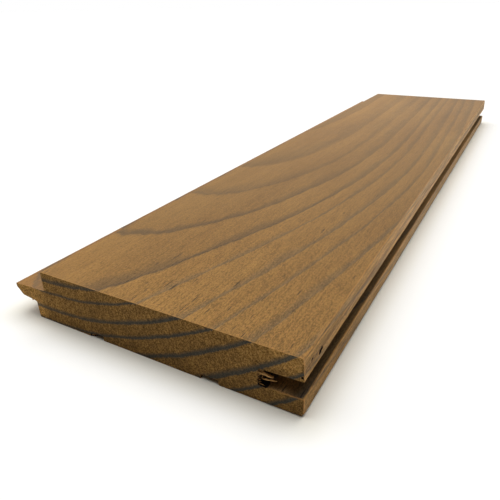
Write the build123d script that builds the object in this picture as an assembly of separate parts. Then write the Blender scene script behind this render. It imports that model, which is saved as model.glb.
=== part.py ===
from build123d import *

import os

# Tongue and groove board, one length of modified pine milled to a shadow-gap section.
# Millimetres. +X runs from the tongue to the groove, +Y along the grain, +Z out of the
# face. The origin is under the middle of the board, on the plane that its back lies on.

# Board
board_length = 430.0
face_width = 103.5  # show face, from the tongue's shoulder to the groove edge
thickness = 21.0
lip_lean = 0.5  # how far the groove edge leans out below the face
face_arris = 0.4
back_arris = 0.5
cutter_radius = 0.4  # what the moulding cutters leave in inner corners

# Tongue
tongue_projection = 16.0  # from the face's shoulder to the tip
tongue_drop = 8.0  # from the face down to the top of the tongue's root
tongue_fall = 0.6  # how much lower the tongue's top is at its tip than at its root
tongue_root_thickness = 6.0
tongue_rise = 0.9  # how much higher the tongue's underside is at its bevel than at its root
nose_height = 1.5  # the upright tip above the bevel
nose_bevel_run = 3.0
nose_arris = 0.35
root_fillet = 0.8
under_step = 5.8  # how far the edge below the tongue stands out past the shoulder

# Groove, which takes the tongue of the next board
joint_clearance = 0.2  # above and below the tongue, where it enters
tip_clearance = 4.3  # beyond the tongue's tip, with the lower edges closed up
mouth_arris = 0.3
lip_lift = 0.5  # how far the back rises from the wide channel to the lower lip's edge

# Relief channels along the back, placed from the tongue's shoulder
relief_depth = 1.8
narrow_relief_width = 4.2
narrow_relief_centre = 25.0
wide_relief_width = 6.9
wide_relief_centre = 71.9
relief_corner = 0.25

# Places across the section
overall_width = tongue_projection + face_width + lip_lean
tip_x = -overall_width / 2
shoulder_x = tip_x + tongue_projection
under_edge_x = shoulder_x - under_step
face_edge_x = shoulder_x + face_width
lip_x = face_edge_x + lip_lean
groove_depth = tongue_projection - under_step + tip_clearance
groove_floor_x = lip_x - groove_depth

# Heights above the back
tongue_top_z = thickness - tongue_drop
tongue_under_z = tongue_top_z - tongue_root_thickness
tip_top_z = tongue_top_z - tongue_fall
tip_bottom_z = tip_top_z - nose_height
bevel_start_z = tongue_under_z + tongue_rise

# The groove runs parallel to the top of the tongue, and the next board's lower edge
# closes on the lower lip, so the tongue enters at that edge.
tongue_slope = tongue_fall / tongue_projection
groove_fall = tongue_slope * groove_depth
mouth_top_z = tongue_top_z - tongue_slope * under_step + joint_clearance
mouth_bottom_z = tongue_under_z - joint_clearance


def face_corners():
    """The show face, from the tongue's shoulder to the groove edge."""
    return [(shoulder_x, thickness, face_arris), (face_edge_x, thickness, face_arris)]


def groove_corners():
    """The groove edge, down the upper lip, round the groove and down the lower lip."""
    return [
        (lip_x, mouth_top_z, mouth_arris),
        (groove_floor_x, mouth_top_z - groove_fall, cutter_radius),
        (groove_floor_x, mouth_bottom_z - groove_fall, cutter_radius),
        (lip_x, mouth_bottom_z, mouth_arris),
        (lip_x, lip_lift, back_arris),
    ]


def relief_corners(centre, width):
    """One relief channel in the back, from its groove side to its tongue side."""
    right_x = shoulder_x + centre + width / 2
    left_x = right_x - width
    return [
        (right_x, 0, 0),
        (right_x, relief_depth, relief_corner),
        (left_x, relief_depth, relief_corner),
        (left_x, 0, 0),
    ]


def tongue_corners():
    """The tongue edge, up the lower edge and round the bevelled tongue to its shoulder."""
    return [
        (under_edge_x, 0, back_arris),
        (under_edge_x, tongue_under_z, root_fillet),
        (tip_x + nose_bevel_run, bevel_start_z, nose_arris),
        (tip_x, tip_bottom_z, nose_arris),
        (tip_x, tip_top_z, nose_arris),
        (shoulder_x, tongue_top_z, cutter_radius),
    ]


def section():
    """The board's section, each corner given as its place and its radius."""
    corners = (
        face_corners()
        + groove_corners()
        + relief_corners(wide_relief_centre, wide_relief_width)
        + relief_corners(narrow_relief_centre, narrow_relief_width)
        + tongue_corners()
    )
    places = [(x, z) for x, z, radius in corners]
    radii = [radius for x, z, radius in corners]
    with BuildSketch(Plane.XZ) as profile:
        with BuildLine():
            FilletPolyline(places, radius=radii, close=True)
        make_face()
    return profile.sketch


board = extrude(section(), amount=board_length / 2, both=True)
board.label = "board"

os.makedirs("parts", exist_ok=True)
export_step(board, "parts/board.step")
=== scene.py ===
import math

import bpy
from mathutils import Matrix, Vector


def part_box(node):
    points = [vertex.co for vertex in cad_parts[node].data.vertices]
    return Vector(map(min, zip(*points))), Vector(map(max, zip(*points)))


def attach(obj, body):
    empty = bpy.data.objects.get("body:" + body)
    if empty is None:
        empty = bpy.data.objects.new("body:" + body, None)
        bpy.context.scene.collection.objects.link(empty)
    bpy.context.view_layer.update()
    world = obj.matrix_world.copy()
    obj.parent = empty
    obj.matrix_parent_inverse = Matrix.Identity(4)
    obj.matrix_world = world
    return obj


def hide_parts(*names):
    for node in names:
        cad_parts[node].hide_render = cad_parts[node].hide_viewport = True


# Tongue and groove board of modified pine, lying on its back on a white floor.
# Metres, in the board's own frame: +X from the tongue to the groove, +Y along the grain.
# Wood patterns and damage are worked out in millimetres.

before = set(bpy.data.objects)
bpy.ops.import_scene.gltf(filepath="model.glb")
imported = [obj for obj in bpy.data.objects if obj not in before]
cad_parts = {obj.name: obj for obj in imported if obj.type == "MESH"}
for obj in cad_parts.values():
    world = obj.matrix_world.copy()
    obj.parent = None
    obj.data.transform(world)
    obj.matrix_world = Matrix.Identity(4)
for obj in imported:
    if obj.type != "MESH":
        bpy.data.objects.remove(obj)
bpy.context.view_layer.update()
board_low, board_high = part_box("board")
MM = 0.001

# Camera
camera_place = Vector((0.0984, -0.3110, 0.1054))
camera_aim = Vector((0.0046, -0.1466, 0.0105))
camera_roll = math.radians(-1.17)
camera_lens = 35.0
camera_sensor = 36.0

# Light: two wide soft lamps above the board, with the bearing from +Y, height, width and strength
# of each
lamps = {
    "lamp_behind": (math.radians(10.0), math.radians(70.0), math.radians(52.0), 1.95),
    "lamp_beside": (math.radians(-90.0), math.radians(66.0), math.radians(52.0), 1.35),
}
lamp_distance = 2.0
sky_light = 0.03
floor_width = 60.0

# Places on the board, in millimetres
near_end = board_low.y / MM
far_end = board_high.y / MM
face_height = board_high.z / MM
back_z = board_low.z / MM
shoulder_x = -44.0
under_edge_x = -49.8
lip_x = board_high.x / MM
lip_top_x = 59.5
groove_floor_x = 45.5
groove_top_z = 13.0
groove_bottom_z = 6.8
groove_bottom_inner_z = 6.26
nose_top_z = 12.2
nose_bottom_z = 11.0
grey_streak_z = 16.2
arrises = (
    (shoulder_x, face_height), (lip_top_x, face_height),
    (lip_x, groove_top_z), (lip_x, groove_bottom_z), (lip_x, back_z),
    (under_edge_x, back_z), (-lip_x, nose_top_z), (-lip_x, nose_bottom_z),
)

# Growth rings, in millimetres: the pith's height above the face and its X at stations along the
# board, and the width of each ring from the first one out
pith_rise = ((-215, 124.0), (-165, 118.6), (-110, 109.5), (-20, 95.0), (80, 86.5), (215, 82.5))
pith_side = ((-215, -43.5), (-165, -41.2), (-110, -44.5), (-20, -54.0), (80, -64.5), (215, -74.0))
ring_start = 68.5  # from the pith to the first ring that is counted
ring_widths = (12, 11, 11.5, 9, 8, 7.5, 5, 7.5, 5.5, 7, 9, 5.5, 6.5, 7, 8)
usual_ring = 7.0  # turns a share of a ring into a length
ring_stretch = 1.02  # rings lie a little closer together across the board than through it
ray_radius = 130.0  # turns an angle round the pith into a length

# How light the wood is at stations along the board
light_along = ((-215, 1.02), (-100, 0.93), (0, 0.98), (110, 1.04), (215, 0.97))

# Colours of the wood. A stain is multiplied into the colour under it.
pine_dark = (0.234, 0.120, 0.030, 1)
pine_light = (0.294, 0.156, 0.041, 1)
fleck_colour = (0.40, 0.19, 0.056, 1)
canal_colour = (0.034, 0.019, 0.009, 1)
inner_line_stain = (0.48, 0.55, 0.84, 1)
outer_line_stain = (0.66, 0.78, 1.22, 1)
far_line_stain = (0.65, 0.735, 0.93, 1)
lip_blue_stain = (0.76, 0.84, 1.15, 1)
lip_grey_stain = (0.60, 0.62, 0.85, 1)
# The pale lip colour is partly paler milled wood and partly a painted sheen.
lip_pale_and_sheen = (0.25, 0.19, 0.13, 1)
groove_stain = (0.92, 1.08, 1.7, 1)
tongue_stain = (0.93, 0.88, 0.90, 1)
# The next three edge colours are partly wear and partly painted highlights where the arrises catch the
# light.
arris_wear_and_highlight = (0.50, 0.25, 0.070, 1)
lip_edge_wear_and_highlight = (0.80, 0.38, 0.115, 1)
end_wear_and_highlight = (0.42, 0.20, 0.05, 1)
# A painted highlight along the lower lip's inner edge on the sawn end.
highlight_under_groove = (0.50, 0.24, 0.07, 1)
end_dark = (0.070, 0.034, 0.004, 1)
end_light = (0.325, 0.176, 0.052, 1)
band_stain = (0.30, 0.46, 0.95, 1)
band_grey = (0.066, 0.060, 0.052, 1)
torn_dark = (0.20, 0.085, 0.020, 1)
torn_light = (0.80, 0.46, 0.17, 1)
# The two dark colours are resin and also paint the deep shade inside the pits and at the hollow's
# bottom.
resin_and_shade_dark = (0.002, 0.001, 0.0006, 1)
resin_and_shade_light = (0.008, 0.004, 0.002, 1)

# Surface finish
planed_roughness = 0.48
sawn_roughness = 0.95
torn_roughness = 0.85
resin_roughness = 0.5
wood_gloss = 0.12
resin_gloss = 0.1

# Floor paper: the white that is seen, a painted warm bounce light from the board close beside it
# and how far that reaches, and the light that it throws back
paper_seen = (1.06, 1.055, 1.03, 1)
paper_painted_bounce = (1.03, 1.005, 0.90, 1)
paper_lighting = (0.8, 0.8, 0.8, 1)
painted_bounce_reach = 12.0

# Mesh of the board: slices along the grain, close together near the sawn ends
end_zone = 42.0
end_slices = 34
middle_slices = 100
arris_reach = 0.75  # how far from its sharp corner an arris wanders
arris_wobble = 0.07
arris_lump = 3.5
smooth_angle = math.radians(28.0)

# The board's materials, in the order of its slots
wood_lining = 0
torn_lining = 1
resin_and_shade_lining = 2

# The hollow that is torn into the groove's near end: place, size, seed and lining of each tear
hollow_tears = (
    ((46.2, near_end - 1.0, 9.3), (2.5, 12.0, 6.2), 21, wood_lining),
    # its dark lining paints the deep shade at the hollow's bottom
    ((47.0, near_end - 1.0, 6.7), (3.2, 9.0, 1.5), 23, resin_and_shade_lining),
)

# How such a tear narrows: the share of its length in each step, and how much narrower it then is
tear_steps = ((0.15, 1.0), (0.2, 0.92), (0.3, 0.7), (0.35, 0.25))
tear_aside = -0.15  # where its tip lies across it, as a share of its width

# Smaller damage at the near end: place, size, turn in degrees, seed and lining of each. The dark lining
# is resin and painted deep shade inside the pits.
small_tears = (
    # broken bottom corner of the lower lip
    ((60.6, near_end - 0.3, 0.2), (2.6, 8.5, 2.4), (0, 0, 4), 5, torn_lining),
    # resin slot and a nick in the upper lip's side
    ((lip_x - 0.1, -202.8, 15.85), (2.3, 3.6, 1.5), (12, 0, 0), 11, resin_and_shade_lining),
    ((lip_x, -209.3, 17.05), (1.0, 1.8, 0.7), (10, 0, 0), 12, resin_and_shade_lining),
    # pin hole in the upper lip's end
    ((59.25, near_end, 14.35), (0.9, 2.6, 1.0), (0, 0, 0), 14, resin_and_shade_lining),
    # chip beside the narrow channel
    ((-21.6, near_end, 0.35), (3.2, 3.0, 1.8), (0, 15, 0), 15, resin_and_shade_lining),
)

# Torn strands stand just inside the sawn end. Each point of a route gives X, the depth behind that
# and Z, in millimetres.
strand_inset = 0.45
strand_flatness = 0.8
strand_sides = 8
strand_jitter = 0.05
rim_jitter = 0.04
upper_route = ((44.5, 0.6, 10.5), (45.5, 0.3, 10.55), (46.8, 0.15, 10.6),
               (48.3, 0.1, 10.5), (49.5, 0.1, 10.4), (50.2, 0.15, 10.35))
lower_route = ((46.2, 0.7, 8.1), (47.0, 0.4, 8.4), (48.0, 0.2, 8.75),
               (49.2, 0.1, 9.1), (50.4, 0.1, 9.35), (51.5, 0.15, 9.5))
tongue_burr_route = ((-52.0, 0.2, 7.9), (-52.3, 0.0, 7.2), (-52.6, 0.0, 6.6), (-53.0, 0.0, 6.2))
tongue_shred_route = ((-51.4, 0.3, 7.6), (-51.6, 0.1, 6.9), (-51.5, 0.1, 6.4))
channel_burr_route = ((-22.6, 0.1, 1.2), (-22.2, 0.0, 0.8), (-21.6, 0.0, 0.55), (-21.0, 0.1, 0.4))
channel_shred_route = ((-23.2, 0.2, 0.9), (-22.9, 0.1, 0.5), (-22.4, 0.1, 0.3))

# Torn strands round the hollow: how thick, how deep, and X and Z along each
rim_strands = (
    (0.45, 0.35, ((44.3, 12.0), (45.1, 11.7), (46.0, 11.5), (47.0, 11.45))),
    (0.38, 0.05, ((44.5, 10.5), (45.1, 10.1), (45.8, 10.2))),
    (0.42, 0.30, ((46.2, 9.9), (45.4, 9.5), (45.0, 8.9), (45.2, 8.3))),
    (0.36, 0.00, ((44.4, 9.3), (44.9, 8.7), (45.5, 8.5))),
    (0.45, 0.45, ((44.5, 8.2), (45.0, 7.6), (45.8, 7.5))),
    (0.32, 0.10, ((44.6, 7.3), (45.2, 7.0), (45.9, 7.1), (46.4, 7.4))),
    (0.40, 0.25, ((44.4, 6.6), (45.2, 6.45), (46.2, 6.2), (47.4, 6.15))),
    (0.28, 0.80, ((46.4, 9.1), (46.2, 8.5), (45.8, 8.0))),
)
rim_seed = 30


class Tree:
    """Adds nodes to one node tree and links them, so that a pattern reads as a list of steps."""

    def __init__(self, tree):
        self.tree = tree

    def feed(self, socket, value):
        if isinstance(value, bpy.types.NodeSocket):
            self.tree.links.new(value, socket)
        elif value is not None:
            socket.default_value = value

    def node(self, kind, inputs=(), **settings):
        node = self.tree.nodes.new(kind)
        count = len(self.tree.nodes)
        node.location = (220 * (count // 6), -200 * (count % 6))
        for name, value in settings.items():
            setattr(node, name, value)
        for name, value in dict(inputs).items():
            self.feed(node.inputs[name], value)
        return node

    def maths(self, operation, first, second=None):
        node = self.node("ShaderNodeMath", operation=operation)
        self.feed(node.inputs[0], first)
        self.feed(node.inputs[1], second)
        return node.outputs["Value"]

    def times(self, *values):
        """The values multiplied together."""
        product = values[0]
        for value in values[1:]:
            product = self.maths("MULTIPLY", product, value)
        return product

    def vector(self, operation, first, second):
        node = self.node("ShaderNodeVectorMath", operation=operation)
        self.feed(node.inputs[0], first)
        self.feed(node.inputs[1], second)
        return node.outputs["Vector"]

    def distance(self, first, second):
        node = self.node("ShaderNodeVectorMath", operation="DISTANCE")
        self.feed(node.inputs[0], first)
        self.feed(node.inputs[1], second)
        return node.outputs["Value"]

    def split(self, vector):
        """A vector's X, Y and Z."""
        return self.node("ShaderNodeSeparateXYZ", {"Vector": vector}).outputs

    def group(self, group, **inputs):
        """What a node group gives for these inputs."""
        return self.node("ShaderNodeGroup", inputs, node_tree=group).outputs

    def spread(self, value, low, high, new_low=0.0, new_high=1.0, smooth=False):
        """A value from between low and high, moved in step to between two new ones and held there."""
        kind = "SMOOTHSTEP" if smooth else "LINEAR"
        inputs = {"Value": value, "From Min": low, "From Max": high,
                  "To Min": new_low, "To Max": new_high}
        return self.node("ShaderNodeMapRange", inputs, interpolation_type=kind).outputs["Result"]

    def mix(self, factor, first, second, blend="MIX"):
        node = self.node("ShaderNodeMix", data_type="RGBA", blend_type=blend)
        self.feed(node.inputs[0], factor)
        self.feed(node.inputs[6], first)
        self.feed(node.inputs[7], second)
        return node.outputs[2]

    def stain(self, factor, colour, stain):
        """A colour with a stain multiplied into it, as far as factor says."""
        return self.mix(factor, colour, self.mix(1.0, colour, stain, "MULTIPLY"))

    def shade(self, colour, light):
        """A colour made lighter or darker by a plain number."""
        node = self.node("ShaderNodeVectorMath", operation="SCALE")
        self.feed(node.inputs[0], colour)
        self.feed(node.inputs["Scale"], light)
        return node.outputs["Vector"]

    def noise(self, place, size, detail=2.0, roughness=0.5):
        """Noise whose lumps are about size millimetres along X, Y and Z."""
        stretched = self.vector("DIVIDE", place, size)
        settings = {"Vector": stretched, "Scale": 1.0, "Detail": detail, "Roughness": roughness}
        return self.node("ShaderNodeTexNoise", settings).outputs["Fac"]

    def curve(self, value, points, low, high):
        """A curve through points, read at value, with its results between low and high."""
        first, last = points[0][0], points[-1][0]
        node = self.node("ShaderNodeFloatCurve")
        node.inputs["Factor"].default_value = 1.0
        line = node.mapping.curves[0]
        while len(line.points) < len(points):
            line.points.new(0.5, 0.5)
        for point, (at, result) in zip(line.points, points):
            point.location = ((at - first) / (last - first), (result - low) / (high - low))
        node.mapping.update()
        self.feed(node.inputs["Value"], self.spread(value, first, last))
        return self.spread(node.outputs["Value"], 0.0, 1.0, low, high), line


def new_group(name, inputs, outputs):
    """An empty shader node group with named sockets, its steps, and its input and output nodes."""
    group = bpy.data.node_groups.new(name, "ShaderNodeTree")
    for label, kind, start in inputs:
        socket = group.interface.new_socket(name=label, in_out="INPUT", socket_type=kind)
        if start is not None:
            socket.default_value = start
    for label, kind in outputs:
        group.interface.new_socket(name=label, in_out="OUTPUT", socket_type=kind)
    steps = Tree(group)
    return group, steps, steps.node("NodeGroupInput"), steps.node("NodeGroupOutput")


def count_rings(steps, radius):
    """How many rings lie within a radius. The fraction is how far into the next ring it reaches."""
    stations = [(ring_start, 0.0)]
    for count, width in enumerate(ring_widths, 1):
        stations.append((stations[-1][0] + width, float(count)))
    rings, line = steps.curve(radius, stations, 0.0, float(len(ring_widths)))
    for point in line.points:
        point.handle_type = "VECTOR"
    return rings


def latewood_line(steps, place, along, to_edge, width, age):
    """A ring's dark line on long grain: crisp and narrow near the end, wide and soft beyond."""
    softer = steps.spread(along, -95.0, 50.0)
    ragged = steps.maths("SUBTRACT", steps.noise(place, (0.35, 4.0, 0.35), 2.0, 0.6), 0.5)
    edge = steps.maths("ADD", to_edge, steps.times(ragged, 0.8))
    line_width = steps.times(width, steps.spread(softer, 0.0, 1.0, 1.0, 2.2))
    flat = steps.times(line_width, steps.spread(softer, 0.0, 1.0, 0.45, 0.15))
    fade = steps.spread(edge, flat, line_width, 1.0, 0.0)
    strength = steps.spread(line_width, 0.8, 4.5, 1.0, 0.65)
    body = steps.times(fade, strength, steps.spread(softer, 0.0, 0.7, 0.72, 1.0))
    core = steps.times(steps.spread(edge, 0.35, 0.8, 1.0, 0.0),
                       steps.spread(softer, 0.0, 0.7, 1.0, 0.0))
    sharp = steps.spread(edge, -0.05, steps.spread(softer, 0.0, 1.0, 0.10, 1.3))
    trail = steps.spread(age, 0.0, 0.04, 0.35, 0.0)
    return steps.maths("MAXIMUM", steps.times(steps.maths("MAXIMUM", body, core), sharp), trail)


def latewood_band(steps, place, across, to_edge, width, age):
    """A ring's dark band on the sawn end."""
    ragged = steps.maths("SUBTRACT", steps.noise(place, (0.5, 4.0, 0.5), 2.0, 0.65), 0.5)
    edge = steps.maths("ADD", to_edge, ragged)
    band_width = steps.maths("ADD", steps.times(width, 0.25),
                             steps.spread(across, -30.0, 10.0, 1.55, 1.7))
    fade = steps.spread(edge, steps.times(band_width, 0.42), band_width, 1.0, 0.0)
    trail = steps.spread(age, 0.0, 0.04, 0.5, 0.0)
    return steps.maths("MAXIMUM", steps.times(fade, steps.spread(edge, 0.0, 0.15)), trail)


def growth_rings_group():
    """Growth rings counted outwards from the pith: their latewood lines and bands, rays and slant."""
    group, steps, given, result = new_group(
        "growth_rings",
        [("Place", "NodeSocketVector", None)],
        [("Ring", "NodeSocketFloat"), ("Age", "NodeSocketFloat"), ("Line", "NodeSocketFloat"),
         ("Band", "NodeSocketFloat"), ("Rays", "NodeSocketVector"), ("Slant", "NodeSocketFloat")],
    )
    place = given.outputs["Place"]
    x, y, z = steps.split(place)
    side, _ = steps.curve(y, pith_side, -80.0, -40.0)
    rise, _ = steps.curve(y, pith_rise, 80.0, 125.0)
    across = steps.times(steps.maths("SUBTRACT", x, side), ring_stretch)
    below = steps.maths("SUBTRACT", steps.maths("ADD", rise, face_height), z)
    squares = steps.maths("ADD", steps.times(across, across), steps.times(below, below))
    slow = steps.maths("SUBTRACT", steps.noise(place, (30.0, 70.0, 30.0), 1.0), 0.5)
    quick = steps.maths("SUBTRACT", steps.noise(place, (4.0, 14.0, 4.0), 2.0), 0.5)
    sway = steps.maths("ADD", steps.times(slow, 1.6), steps.times(quick, 0.9))
    radius = steps.maths("ADD", steps.maths("SQRT", squares), sway)
    rings = count_rings(steps, radius)
    age = steps.maths("FRACT", rings)

    # Latewood, by its distance in millimetres from the sharp edge where the ring ends
    to_edge = steps.times(steps.maths("SUBTRACT", 1.0, age), usual_ring)
    width = steps.spread(steps.noise(place, (16.0, 42.0, 16.0), 1.0), 0.32, 0.68, 0.8, 2.9)
    angle = steps.maths("ARCTAN2", across, below)
    around = steps.times(angle, ray_radius)
    rays = steps.node("ShaderNodeCombineXYZ", {"X": around, "Y": y, "Z": radius})
    outcomes = {
        "Ring": steps.maths("FLOOR", rings),
        "Age": age,
        "Line": latewood_line(steps, place, y, to_edge, width, age),
        "Band": latewood_band(steps, place, x, to_edge, width, age),
        "Rays": rays.outputs["Vector"],
        "Slant": steps.maths("DIVIDE", across, radius),
    }
    for name, value in outcomes.items():
        steps.feed(result.inputs[name], value)
    return group


def fibres_group():
    """Fine and broad streaks along the grain, from 0 for dark to 1 for light, and pale flecks."""
    group, steps, given, result = new_group(
        "wood_fibres",
        [("Place", "NodeSocketVector", None)],
        [("Fine", "NodeSocketFloat"), ("Broad", "NodeSocketFloat"), ("Flecks", "NodeSocketFloat")],
    )
    place = given.outputs["Place"]
    short = steps.noise(place, (0.28, 1.1, 0.28), 1.0, 0.6)
    long = steps.noise(place, (0.6, 9.0, 0.6), 1.0, 0.5)
    mean = steps.maths("ADD", steps.times(short, 0.65), steps.times(long, 0.35))
    speckle = steps.noise(place, (0.32, 0.9, 0.32), 1.0, 0.5)
    outcomes = {
        "Fine": steps.spread(mean, 0.32, 0.68),
        "Broad": steps.spread(steps.noise(place, (2.2, 60.0, 2.2), 2.0, 0.55), 0.3, 0.7),
        "Flecks": steps.spread(speckle, 0.58, 0.70, smooth=True),
    }
    for name, value in outcomes.items():
        steps.feed(result.inputs[name], value)
    return group


def resin_canals_group():
    """Short dark dashes along the grain, which are dots on the end: 1 inside a canal, 0 outside."""
    group, steps, given, result = new_group(
        "resin_canals",
        [("Place", "NodeSocketVector", None), ("Amount", "NodeSocketFloat", 1.0)],
        [("Canals", "NodeSocketFloat")],
    )
    stretched = steps.vector("DIVIDE", given.outputs["Place"], (1.4, 13.0, 1.4))
    cells = steps.node("ShaderNodeTexVoronoi", {"Vector": stretched, "Scale": 1.0, "Randomness": 1.0})
    random = steps.node("ShaderNodeSeparateColor", {"Color": cells.outputs["Color"]})
    sizes = steps.spread(random.outputs["Red"], 0.0, 1.0, 0.04, 0.17)
    reach = steps.times(sizes, given.outputs["Amount"])
    canals = steps.spread(cells.outputs["Distance"], steps.times(reach, 0.6), reach, 1.0, 0.0)
    steps.feed(result.inputs["Canals"], canals)
    return group


def edge_wear_and_highlight_group():
    """Where handling and the saw have rubbed the edges, and where the arrises are painted with
    highlights: along the arrises and round the sawn ends.
    """
    group, steps, given, result = new_group(
        "edge_wear_and_highlight",
        [("Place", "NodeSocketVector", None), ("Reach", "NodeSocketFloat", 0.5)],
        [("Arrises", "NodeSocketFloat"), ("Ends", "NodeSocketFloat")],
    )
    place = given.outputs["Place"]
    reach = given.outputs["Reach"]
    along = steps.split(place)["Y"]
    section = steps.vector("MULTIPLY", place, (1.0, 0.0, 1.0))
    distances = [steps.distance(section, (arris_x, 0.0, arris_z)) for arris_x, arris_z in arrises]
    nearest = distances[0]
    for distance in distances[1:]:
        nearest = steps.maths("MINIMUM", nearest, distance)
    patchy = steps.spread(steps.noise(place, (0.8, 2.5, 0.8), 2.0, 0.6), 0.35, 0.65, 0.25, 1.0)
    arris = steps.spread(nearest, steps.times(reach, 0.4), reach, 1.0, 0.0)
    from_end = steps.maths("SUBTRACT", far_end, steps.maths("ABSOLUTE", along))
    end = steps.spread(from_end, 0.0, reach, 1.0, 0.0)
    steps.feed(result.inputs["Arrises"], steps.times(arris, patchy))
    steps.feed(result.inputs["Ends"], steps.times(end, patchy))
    return group


def box_mask(steps, axes, low, high, soft=0.25):
    """1 inside a box in millimetres, and 0 outside, with soft sides. None leaves a side open."""
    sides = []
    for value, bottom, top in zip(axes, low, high):
        if bottom is not None:
            sides.append(steps.spread(value, bottom - soft, bottom + soft))
        if top is not None:
            sides.append(steps.spread(value, top - soft, top + soft, 1.0, 0.0))
    return steps.times(*sides)


def new_material(name):
    """An empty material, its steps, and its coordinates with each point's place in millimetres."""
    material = bpy.data.materials.new(name)
    material.use_nodes = True
    material.node_tree.nodes.clear()
    steps = Tree(material.node_tree)
    coordinates = steps.node("ShaderNodeTexCoord")
    place = steps.vector("MULTIPLY", coordinates.outputs["Object"], (1 / MM,) * 3)
    return material, steps, coordinates, place


def show_surface(steps, inputs):
    surface = steps.node("ShaderNodeBsdfPrincipled", inputs)
    steps.node("ShaderNodeOutputMaterial", {"Surface": surface.outputs["BSDF"]})


class PinePatterns:
    """What the parts of the pine material share: a point's place, its facing and the wood there."""

    def __init__(self, steps, coordinates, place, groups):
        self.place = place
        self.axes = steps.split(place)
        self.x, self.y, self.z = self.axes
        facing = steps.split(coordinates.outputs["Normal"])
        self.end_grain = steps.spread(steps.maths("ABSOLUTE", facing["Y"]), 0.6, 0.8)
        self.facing_side = steps.spread(steps.maths("ABSOLUTE", facing["X"]), 0.6, 0.9)
        self.facing_up = steps.spread(facing["Z"], 0.3, 0.7)
        self.rings = steps.group(groups["rings"], Place=place)
        self.fibres = steps.group(groups["fibres"], Place=place)
        self.coarse = steps.times(steps.spread(self.rings["Slant"], 0.05, 0.45, 0.7, 1.3),
                                  steps.spread(self.y, -200.0, -60.0, 1.35, 0.5))
        amount = steps.times(steps.spread(self.rings["Age"], 0.3, 0.9, 0.6, 1.1), self.coarse)
        self.canals = steps.group(groups["canals"], Place=place, Amount=amount)["Canals"]


def long_grain(steps, wood):
    """Long grain: streaks and flecks, grey latewood lines and the dashes of resin canals."""
    cloud = steps.spread(steps.noise(wood.place, (26.0, 90.0, 26.0), 2.0), 0.3, 0.7)
    ring = wood.rings["Ring"]
    ring_tone = steps.node("ShaderNodeTexWhiteNoise", {"W": ring}, noise_dimensions="1D")
    grain = steps.times(steps.maths("SUBTRACT", wood.fibres["Fine"], 0.5), wood.coarse)
    late_light = steps.spread(wood.y, -140.0, -70.0, 0.94, 0.88)
    along, _ = steps.curve(wood.y, light_along, 0.9, 1.1)
    light = steps.times(
        steps.spread(ring_tone.outputs["Value"], 0.0, 1.0, 0.93, 1.03),
        steps.spread(grain, -0.5, 0.5, 0.62, 1.36),
        steps.spread(wood.fibres["Broad"], 0.0, 1.0, 0.93, 1.07),
        steps.spread(wood.rings["Age"], 0.1, 0.95, 1.05, late_light),
        steps.spread(wood.x, shoulder_x, lip_x, 1.06, 0.96),
        along,
    )
    pale_ends = steps.maths("ADD", steps.spread(wood.y, near_end, -165.0, 0.22, 0.0),
                            steps.spread(wood.y, 50.0, 150.0, 0.0, 0.22))
    pale_ends = steps.times(pale_ends, steps.spread(wood.x, shoulder_x, -14.0, 1.0, 0.0))
    tone = steps.shade(steps.mix(cloud, pine_dark, pine_light), steps.maths("ADD", light, pale_ends))
    tone = steps.mix(steps.times(wood.fibres["Flecks"], wood.coarse, 0.45), tone, fleck_colour)
    line = steps.times(wood.rings["Line"], steps.spread(ring, 3.0, 5.0, 0.64, 1.0))
    near_stain = steps.mix(steps.spread(ring, 5.0, 6.0), inner_line_stain, outer_line_stain)
    line_stain = steps.mix(steps.spread(wood.y, -130.0, -20.0), near_stain, far_line_stain)
    lined = steps.stain(line, tone, line_stain)
    return steps.mix(steps.times(wood.canals, 0.8), lined, canal_colour)


def lip_sides(steps, wood, lips, colour):
    """The upright sides of the two lips: paler milled wood under a painted sheen that grows along the
    board and up the lips, with bluish and grey streaks along the grain.
    """
    bluish = steps.spread(steps.noise(wood.place, (1.2, 26.0, 0.9), 2.0), 0.42, 0.60)
    streaked = steps.stain(steps.times(bluish, 0.6), colour, lip_blue_stain)
    # Painted sheen: paler and greyer further along the board.
    streaked = steps.mix(steps.spread(wood.y, -200.0, -60.0, 0.15, 0.45), streaked, lip_pale_and_sheen)
    from_streak = steps.maths("ABSOLUTE", steps.maths("SUBTRACT", wood.z, grey_streak_z))
    broken = steps.spread(steps.noise(wood.place, (2.0, 18.0, 0.7), 2.0), 0.35, 0.6, 0.2, 0.9)
    grey = steps.times(steps.spread(from_streak, 0.4, 1.7, 1.0, 0.0), broken)
    streaked = steps.stain(grey, streaked, lip_grey_stain)
    # Partly paler milled wood, partly a painted sheen that grows along the board and up the lips.
    light = steps.times(
        steps.spread(steps.noise(wood.place, (0.8, 15.0, 0.45), 2.0, 0.6), 0.34, 0.66, 0.72, 1.26),
        steps.spread(wood.y, near_end, -120.0, 1.5, 2.6),
        steps.spread(wood.z, groove_bottom_z, groove_top_z, 1.0, 1.2),
    )
    return steps.mix(lips, colour, steps.shade(streaked, light))


def groove_walls(steps, wood, groove, colour):
    """The groove's walls: painted shade at the back, on the upward-facing wall and at the near end, and
    painted light towards the mouth and further along.
    """
    # Painted light and shade in the groove, by place along and across it.
    light = steps.times(
        steps.spread(wood.y, -200.0, 20.0, 0.6, 2.0),
        steps.spread(wood.facing_up, 0.0, 1.0, 1.0, 0.7),
        steps.spread(wood.x, 47.0, 51.0, 0.6, 2.8),
        steps.spread(wood.x, 53.0, 58.0, 1.0, 0.4),
    )
    light = steps.maths("MINIMUM", light, steps.spread(wood.y, 60.0, 160.0, 3.0, 1.0))
    lit = steps.shade(colour, steps.spread(groove, 0.0, 1.0, 1.0, light))
    return steps.stain(groove, lit, groove_stain)


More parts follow.
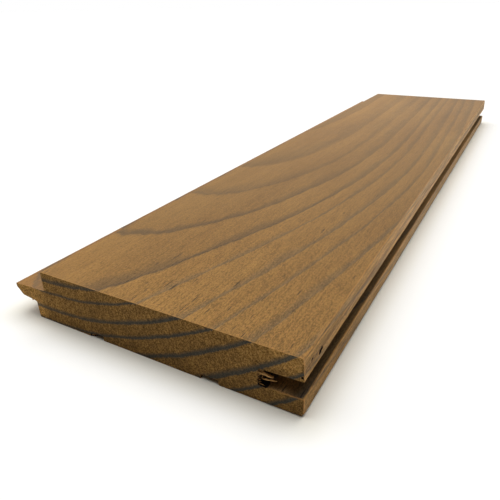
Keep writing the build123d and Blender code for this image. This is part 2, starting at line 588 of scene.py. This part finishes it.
def worn_and_highlit_edges(steps, wood, groups, wear_and_highlight, lips, colour):
    """Arrises and end edges rubbed down to fresh orange wood and painted with highlights, most of all
    on the lips.
    """
    lip_wear_and_highlight = steps.group(groups["wear_and_highlight"], Place=wood.place, Reach=1.1)
    ends = steps.maths("MAXIMUM", steps.times(wear_and_highlight["Ends"], 0.6), steps.times(lip_wear_and_highlight["Ends"], lips))
    worn = steps.maths("MAXIMUM", steps.times(wear_and_highlight["Arrises"], 0.65), ends)
    return steps.mix(worn, colour, steps.mix(lips, arris_wear_and_highlight, lip_edge_wear_and_highlight))


def sawn_end(steps, wood, wear_and_highlight):
    """End grain: dark and mottled, with rays, grey latewood bands, painted shade towards the back, and
    edges both rubbed and painted with highlights.
    """
    mottle = steps.noise(wood.place, (0.42, 3.0, 0.42), 3.0, 0.65)
    ray_lines = steps.noise(wood.rings["Rays"], (0.30, 3.0, 2.2), 2.0, 0.6)
    patches = steps.noise(wood.place, (5.0, 20.0, 5.0), 2.0)
    low_left = steps.times(steps.spread(wood.x, -20.0, -34.0), steps.spread(wood.z, 12.0, 6.0))
    over_groove = steps.times(steps.spread(wood.x, 42.0, 52.0), steps.spread(wood.z, 13.0, 17.0))
    light = steps.times(
        steps.spread(ray_lines, 0.3, 0.7, 0.66, 1.36),
        steps.spread(patches, 0.3, 0.7, 0.85, 1.15),
        # Painted shade: darker towards the back, near the floor.
        steps.spread(wood.z, back_z, face_height, 1.0, 1.18),
        steps.spread(wood.x, -45.0, -15.0, 1.16, 1.0),
        steps.spread(low_left, 0.0, 1.0, 1.0, 1.22),
        steps.spread(over_groove, 0.0, 1.0, 1.05, 1.5),
    )
    tone = steps.shade(steps.mix(steps.spread(mottle, 0.36, 0.64), end_dark, end_light), light)
    banded = steps.mix(0.5, steps.mix(1.0, tone, band_stain, "MULTIPLY"), band_grey)
    band = steps.times(wood.rings["Band"], steps.spread(wood.x, -45.0, 10.0, 0.84, 1.0))
    colour = steps.mix(band, tone, banded)
    # Wear and painted highlights along the end's arrises.
    colour = steps.mix(steps.times(wear_and_highlight["Arrises"], 0.4), colour, end_wear_and_highlight)

    # A painted highlight along the lower lip's inner edge, just below the groove
    groove_bottom = steps.spread(wood.x, groove_floor_x, lip_x,
                                 groove_bottom_inner_z, groove_bottom_z)
    below_groove = steps.maths("SUBTRACT", groove_bottom, wood.z)
    groove_edge_highlight = steps.times(
        steps.spread(below_groove, 0.15, 0.55, 1.0, 0.0),
        steps.spread(wood.x, 49.0, 54.0),
        steps.spread(below_groove, -0.6, -0.4),
        steps.spread(steps.noise(wood.place, (1.5, 5.0, 0.4), 2.0), 0.35, 0.6, 0.2, 0.85),
    )
    colour = steps.mix(groove_edge_highlight, colour, highlight_under_groove)
    return steps.shade(colour, steps.spread(wood.x, shoulder_x - 3.0, shoulder_x, 1.5, 1.0))


def pine_material(groups):
    """Modified pine: brown all through, with pale lips under a painted sheen, a groove with painted
    shade and light, edges worn and painted with highlights, and darker, rough-sawn ends.
    """
    material, steps, coordinates, place = new_material("modified_pine_wood")
    wood = PinePatterns(steps, coordinates, place, groups)
    # Edge wear and painted highlights along the arrises and round the sawn ends.
    wear_and_highlight = steps.group(groups["wear_and_highlight"], Place=place, Reach=0.6)
    lips = steps.times(wood.facing_side,
                       box_mask(steps, wood.axes, (lip_x - 2.0, None, None), (None, None, None)))
    groove = box_mask(steps, wood.axes, (groove_floor_x - 1.5, None, groove_bottom_z - 0.6),
                      (lip_x - 0.5, None, groove_top_z + 0.4))
    groove = steps.times(groove, steps.maths("SUBTRACT", 1.0, wood.end_grain))
    tongue = box_mask(steps, wood.axes, (None, None, None), (shoulder_x - 0.2, None, None))
    colour = long_grain(steps, wood)
    colour = lip_sides(steps, wood, lips, colour)
    colour = groove_walls(steps, wood, groove, colour)
    colour = steps.stain(tongue, colour, tongue_stain)
    colour = worn_and_highlit_edges(steps, wood, groups, wear_and_highlight, lips, colour)
    colour = steps.mix(wood.end_grain, colour, sawn_end(steps, wood, wear_and_highlight))
    planed = steps.times(wood.facing_up, steps.maths("SUBTRACT", 1.0, groove))
    height = steps.maths("SUBTRACT", wood.fibres["Fine"], steps.times(wood.canals, 2.0))
    height = steps.maths("ADD", height, steps.times(wood.rings["Line"], 0.8))
    relief = steps.node("ShaderNodeBump", {"Height": height, "Strength": 0.35, "Distance": 0.1 * MM})
    show_surface(steps, {
        "Base Color": colour,
        "Roughness": steps.spread(planed, 0.0, 1.0, sawn_roughness, planed_roughness),
        "Normal": relief.outputs["Normal"],
        "Specular IOR Level": wood_gloss,
    })
    return material


def torn_material(groups):
    """Freshly torn pine, in the broken corner, splinters and burrs: paler, with open fibres."""
    material, steps, _, place = new_material("torn_pine")
    fibres = steps.group(groups["fibres"], Place=place)
    lumps = steps.noise(place, (0.9, 0.9, 0.25), 2.0)
    open_fibres = {"Height": fibres["Fine"], "Strength": 0.5, "Distance": 0.2 * MM}
    relief = steps.node("ShaderNodeBump", open_fibres)
    show_surface(steps, {
        "Base Color": steps.mix(steps.spread(lumps, 0.35, 0.65), torn_dark, torn_light),
        "Roughness": torn_roughness,
        "Normal": relief.outputs["Normal"],
        "Specular IOR Level": wood_gloss,
    })
    return material


def resin_and_shade_material():
    """Dried resin and painted deep shade, nearly black: the slot, nick, pin hole, chip and hollow's
    bottom.
    """
    material, steps, _, place = new_material("dried_resin_and_painted_shade")
    lumps = steps.noise(place, (0.4, 0.8, 0.4), 2.0)
    show_surface(steps, {
        "Base Color": steps.mix(steps.spread(lumps, 0.35, 0.65), resin_and_shade_dark, resin_and_shade_light),
        "Roughness": resin_roughness,
        "Specular IOR Level": resin_gloss,
    })
    return material


def background_rays(steps):
    """1 where a surface is seen, directly or mirrored, and 0 where it only lights the board."""
    path = steps.node("ShaderNodeLightPath").outputs
    mirrored = steps.maths("MAXIMUM", path["Is Glossy Ray"], path["Is Transmission Ray"])
    return steps.maths("MAXIMUM", path["Is Camera Ray"], mirrored)


def floor_material():
    """White paper: a plain white to the eye, with a painted warm bounce light from the board close
    beside it, and a plain light reflector to the board.
    """
    material, steps, _, place = new_material("white_floor")
    inside = steps.vector("MAXIMUM", place, (-lip_x, near_end, 0.0))
    inside = steps.vector("MINIMUM", inside, (lip_x, far_end, 0.0))
    # Painted warm bounce light from the board, fading with distance from its footprint.
    painted_bounce = steps.spread(steps.distance(place, inside), 0.0, painted_bounce_reach, 1.0, 0.0)
    paper = steps.mix(painted_bounce, paper_seen, paper_painted_bounce)
    colour = steps.mix(background_rays(steps), paper_lighting, paper)
    matt = steps.node("ShaderNodeBsdfDiffuse", {"Color": colour})
    steps.node("ShaderNodeOutputMaterial", {"Surface": matt.outputs["BSDF"]})
    return material


def select_only(piece):
    bpy.ops.object.select_all(action="DESELECT")
    piece.select_set(True)
    bpy.context.view_layer.objects.active = piece


def apply_modifier(piece, name, kind, **settings):
    select_only(piece)
    modifier = piece.modifiers.new(name, kind)
    for setting, value in settings.items():
        setattr(modifier, setting, value)
    bpy.ops.object.modifier_apply(modifier=name)


def dress(piece, materials):
    piece.data.materials.clear()
    for material in materials:
        piece.data.materials.append(material)


def settle(piece):
    """Puts a finished piece's place into its mesh and lets it ride on the board's body."""
    select_only(piece)
    bpy.ops.object.transform_apply(location=True, rotation=True, scale=True)
    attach(piece, "root")


def merged_copy(node):
    """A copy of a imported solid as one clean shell: long strips along the grain between two ends."""
    piece = bpy.data.objects.new("board_wood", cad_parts[node].data.copy())
    bpy.context.collection.objects.link(piece)
    select_only(piece)
    bpy.ops.object.mode_set(mode="EDIT")
    bpy.ops.mesh.select_all(action="SELECT")
    bpy.ops.mesh.customdata_custom_splitnormals_clear()
    bpy.ops.mesh.remove_doubles(threshold=1e-6)
    bpy.ops.mesh.dissolve_limited(angle_limit=math.radians(0.5), delimit={"NORMAL"})
    bpy.ops.object.mode_set(mode="OBJECT")
    return piece


def select_long_edges(piece, low_y, high_y):
    """Selects the edges that run along the grain between two stations."""
    bpy.ops.object.mode_set(mode="EDIT")
    bpy.ops.mesh.select_all(action="DESELECT")
    bpy.ops.mesh.select_mode(type="EDGE")
    bpy.ops.object.mode_set(mode="OBJECT")
    places = piece.data.vertices
    for edge in piece.data.edges:
        first, second = (places[corner].co for corner in edge.vertices)
        inside = low_y < (first.y + second.y) / 2 < high_y
        edge.select = inside and abs(first.y - second.y) > MM
    bpy.ops.object.mode_set(mode="EDIT")


def slice_along_grain(piece):
    """Cuts the long strips into slices, so that the arrises can wander and chips can be cut."""
    zones = ((near_end, near_end + end_zone, end_slices),
             (near_end + end_zone, far_end - end_zone, middle_slices),
             (far_end - end_zone, far_end, end_slices))
    select_only(piece)
    for station in (near_end + end_zone, far_end - end_zone):
        bpy.ops.object.mode_set(mode="EDIT")
        bpy.ops.mesh.select_all(action="SELECT")
        bpy.ops.mesh.bisect(plane_co=(0.0, station * MM, 0.0), plane_no=(0.0, 1.0, 0.0))
    for low, high, slices in zones:
        select_long_edges(piece, low * MM, high * MM)
        bpy.ops.mesh.subdivide(number_cuts=slices - 1)
    bpy.ops.object.mode_set(mode="OBJECT")


def wear_arrises(piece):
    """Lets the rounded arrises wander a little, as handling leaves them. The flats stay flat."""
    worn = piece.vertex_groups.new(name="arrises")
    for corner in piece.data.vertices:
        x, y, z = corner.co / MM
        for arris_x, arris_z in arrises:
            reach = math.hypot(x - arris_x, z - arris_z)
            if reach < arris_reach and z > back_z + 0.05:
                worn.add([corner.index], 1.0 - (reach / arris_reach) ** 2, "REPLACE")
    lumps = bpy.data.textures.new("arris_lumps", "CLOUDS")
    lumps.noise_scale = arris_lump * MM
    lumps.noise_depth = 2
    apply_modifier(piece, "wander", "DISPLACE", texture=lumps, vertex_group="arrises", mid_level=1.0,
                   strength=2.0 * arris_wobble * MM, texture_coords="LOCAL")


def rough_cutter(place, size, turn, seed, roughness=0.18):
    """A rough lump to tear out of the board: place and size in millimetres, turn in degrees."""
    bpy.ops.mesh.primitive_ico_sphere_add(subdivisions=3, radius=0.5, location=(0.0, 0.0, 0.0))
    cutter = bpy.context.object
    bpy.ops.object.mode_set(mode="EDIT")
    bpy.ops.mesh.select_all(action="SELECT")
    bpy.ops.transform.vertex_random(offset=roughness, uniform=1.0, normal=0.0, seed=seed)
    bpy.ops.object.mode_set(mode="OBJECT")
    cutter.scale = Vector(size) * MM
    cutter.rotation_euler = [math.radians(angle) for angle in turn]
    cutter.location = Vector(place) * MM
    bpy.ops.object.transform_apply(location=True, rotation=True, scale=True)
    return cutter


def jagged_cutter(place, size, seed, teeth=22, roughness=0.13):
    """A long tear that narrows into the grain from the near end: place and size in millimetres."""
    upright = (math.radians(90.0), 0.0, 0.0)
    bpy.ops.mesh.primitive_circle_add(vertices=teeth, radius=0.5, fill_type="NGON",
                                      location=(0.0, 0.0, 0.0), rotation=upright)
    cutter = bpy.context.object
    bpy.ops.object.transform_apply(location=True, rotation=True, scale=True)
    bpy.ops.object.mode_set(mode="EDIT")
    bpy.ops.mesh.select_all(action="SELECT")
    bpy.ops.transform.vertex_random(offset=roughness, uniform=0.6, normal=0.0, seed=seed)
    bpy.ops.transform.resize(value=(1.0, 0.0, 1.0), center_override=(0.0, 0.0, 0.0))
    centre = (tear_aside, 0.0, 0.0)
    frayed = roughness * 0.3
    for step, narrower in tear_steps:
        bpy.ops.mesh.extrude_region_move(TRANSFORM_OT_translate={"value": (0.0, step, 0.0)})
        bpy.ops.transform.resize(value=(narrower, 1.0, narrower), center_override=centre)
        bpy.ops.transform.vertex_random(offset=frayed, uniform=1.0, normal=0.0, seed=seed + 1)
    bpy.ops.mesh.select_all(action="SELECT")
    bpy.ops.mesh.normals_make_consistent(inside=False)
    bpy.ops.object.mode_set(mode="OBJECT")
    cutter.scale = Vector(size) * MM
    cutter.location = Vector(place) * MM
    bpy.ops.object.transform_apply(location=True, rotation=True, scale=True)
    return cutter


def tear_out(piece, cutter, lining):
    """Takes a cutter's lump out of the board. The new faces take the lining's material."""
    dress(cutter, piece.data.materials[:])
    for face in cutter.data.polygons:
        face.material_index = lining
    apply_modifier(piece, "tear", "BOOLEAN", object=cutter, operation="DIFFERENCE", solver="MANIFOLD")
    bpy.data.objects.remove(cutter)


def make_board(materials):
    """The board itself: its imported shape, with worn arrises and the tears that its near end shows."""
    piece = merged_copy("board")
    dress(piece, materials)
    slice_along_grain(piece)
    wear_arrises(piece)
    for place, size, seed, lining in hollow_tears:
        tear_out(piece, jagged_cutter(place, size, seed), lining)
    for place, size, turn, seed, lining in small_tears:
        tear_out(piece, rough_cutter(place, size, turn, seed), lining)
    select_only(piece)
    bpy.ops.object.shade_smooth_by_angle(angle=smooth_angle)
    apply_modifier(piece, "flat_first", "WEIGHTED_NORMAL", mode="FACE_AREA", weight=50,
                   keep_sharp=True)
    settle(piece)
    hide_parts("board")


def grow_strand(route, thick, seed, jitter=strand_jitter):
    """One torn strand, drawn out along a route, with its thickness at each point: in millimetres."""
    bpy.ops.object.select_all(action="DESELECT")
    bpy.ops.mesh.primitive_circle_add(vertices=strand_sides, radius=0.5, fill_type="NGON")
    strand = bpy.context.object
    route = [Vector((x, near_end + strand_inset + depth, z)) * MM for x, depth, z in route]
    forward = (route[1] - route[0]).normalized()
    strand.rotation_euler = forward.to_track_quat("Z", "Y").to_euler()
    strand.location = route[0]
    strand.scale = (thick[0] * MM, thick[0] * strand_flatness * MM, 1.0)
    bpy.ops.object.transform_apply(location=True, rotation=True, scale=True)
    bpy.ops.object.mode_set(mode="EDIT")
    bpy.ops.mesh.select_all(action="SELECT")
    for before, after, old, new in zip(route, route[1:], thick, thick[1:]):
        bpy.ops.mesh.extrude_region_move(TRANSFORM_OT_translate={"value": after - before})
        bpy.ops.transform.resize(value=(new / old,) * 3, center_override=after)
        bpy.ops.transform.vertex_random(offset=jitter * MM, uniform=0.0, normal=0.0, seed=seed)
    bpy.ops.mesh.select_all(action="SELECT")
    bpy.ops.mesh.normals_make_consistent(inside=False)
    bpy.ops.object.mode_set(mode="OBJECT")
    apply_modifier(strand, "smooth", "SUBSURF", levels=1, render_levels=1)
    bpy.ops.object.shade_smooth()
    return strand


def bind_strands(name, strands, torn):
    """Joins strands into one splinter."""
    bpy.ops.object.select_all(action="DESELECT")
    for strand in strands:
        strand.select_set(True)
    bpy.context.view_layer.objects.active = strands[0]
    bpy.ops.object.join()
    splinter = bpy.context.object
    splinter.name = name
    dress(splinter, [torn])
    settle(splinter)


def beside(route, shift):
    """A route moved by a shift."""
    return [tuple(a + b for a, b in zip(point, shift)) for point in route]


def make_splinters(torn):
    """The torn slivers that stand across the groove's near end."""
    under_upper = beside(upper_route[:-2], (0.0, 0.12, -0.4))
    over_upper = beside(upper_route[:-2], (-0.3, 0.2, 0.38))
    bind_strands("splinter_upper", (
        grow_strand(upper_route, (0.9, 1.05, 1.05, 1.0, 0.95, 0.85), seed=4),
        grow_strand(under_upper, (0.5, 0.6, 0.5, 0.25), seed=5),
        grow_strand(over_upper, (0.45, 0.5, 0.4, 0.2), seed=6),
    ), torn)
    under_lower = beside(lower_route[:-1], (0.1, 0.1, -0.2))
    bind_strands("splinter_lower", (
        grow_strand(lower_route, (0.5, 0.62, 0.62, 0.58, 0.5, 0.25), seed=9),
        grow_strand(under_lower, (0.3, 0.36, 0.34, 0.28, 0.12), seed=10),
    ), torn)


def make_torn_rim(torn):
    """The torn strands round the hollow."""
    strands = []
    for seed, (thick, depth, route) in enumerate(rim_strands, rim_seed):
        places = [(x, depth, z) for x, z in route]
        tapered = (0.6 * thick,) + (thick,) * (len(places) - 2) + (0.35 * thick,)
        strands.append(grow_strand(places, tapered, seed, rim_jitter))
    bind_strands("torn_rim", strands, torn)


def make_burrs(torn):
    """The burrs that hang under the tongue and beside the narrow channel."""
    bind_strands("tongue_burr", (
        grow_strand(tongue_burr_route, (0.8, 1.0, 0.7, 0.2), seed=12),
        grow_strand(tongue_shred_route, (0.5, 0.5, 0.15), seed=13),
    ), torn)
    bind_strands("channel_burr", (
        grow_strand(channel_burr_route, (0.5, 0.6, 0.45, 0.15), seed=14),
        grow_strand(channel_shred_route, (0.4, 0.4, 0.15), seed=15),
    ), torn)


def make_floor():
    bpy.ops.mesh.primitive_plane_add(size=floor_width, location=(0.0, 0.0, board_low.z))
    floor = bpy.context.object
    floor.name = "floor"
    floor.data.materials.append(floor_material())


def make_world():
    world = bpy.data.worlds.new("studio")
    bpy.context.scene.world = world
    world.use_nodes = True
    tree = world.node_tree
    tree.nodes.clear()
    steps = Tree(tree)
    strength = steps.spread(background_rays(steps), 0.0, 1.0, sky_light, 1.0)
    sky = steps.node("ShaderNodeBackground", {"Color": (1, 1, 1, 1), "Strength": strength})
    steps.node("ShaderNodeOutputWorld", {"Surface": sky.outputs["Background"]})


def make_lamp(name, bearing, height, width, strength):
    outwards = math.cos(height)
    towards = Vector((math.sin(bearing) * outwards, math.cos(bearing) * outwards, math.sin(height)))
    turn = towards.to_track_quat("Z", "Y").to_euler()
    bpy.ops.object.light_add(type="SUN", location=towards * lamp_distance, rotation=turn)
    lamp = bpy.context.object
    lamp.name = name
    lamp.data.angle = width
    lamp.data.energy = strength


def make_camera():
    looking = (camera_aim - camera_place).to_track_quat("-Z", "Y").to_matrix()
    turned = looking @ Matrix.Rotation(camera_roll, 3, "Z")
    bpy.ops.object.camera_add(location=camera_place, rotation=turned.to_euler())
    camera = bpy.context.object
    camera.name = "camera"
    camera.data.lens = camera_lens
    camera.data.sensor_width = camera_sensor
    camera.data.clip_start = 0.01
    bpy.context.scene.camera = camera


bpy.ops.object.select_all(action="DESELECT")
bpy.context.scene.view_settings.view_transform = "Standard"
make_camera()
make_world()
for lamp_name, lamp_values in lamps.items():
    make_lamp(lamp_name, *lamp_values)
make_floor()
wood_groups = {
    "rings": growth_rings_group(),
    "fibres": fibres_group(),
    "canals": resin_canals_group(),
    "wear_and_highlight": edge_wear_and_highlight_group(),
}
torn_pine = torn_material(wood_groups)
make_board([pine_material(wood_groups), torn_pine, resin_and_shade_material()])
make_splinters(torn_pine)
make_torn_rim(torn_pine)
make_burrs(torn_pine)
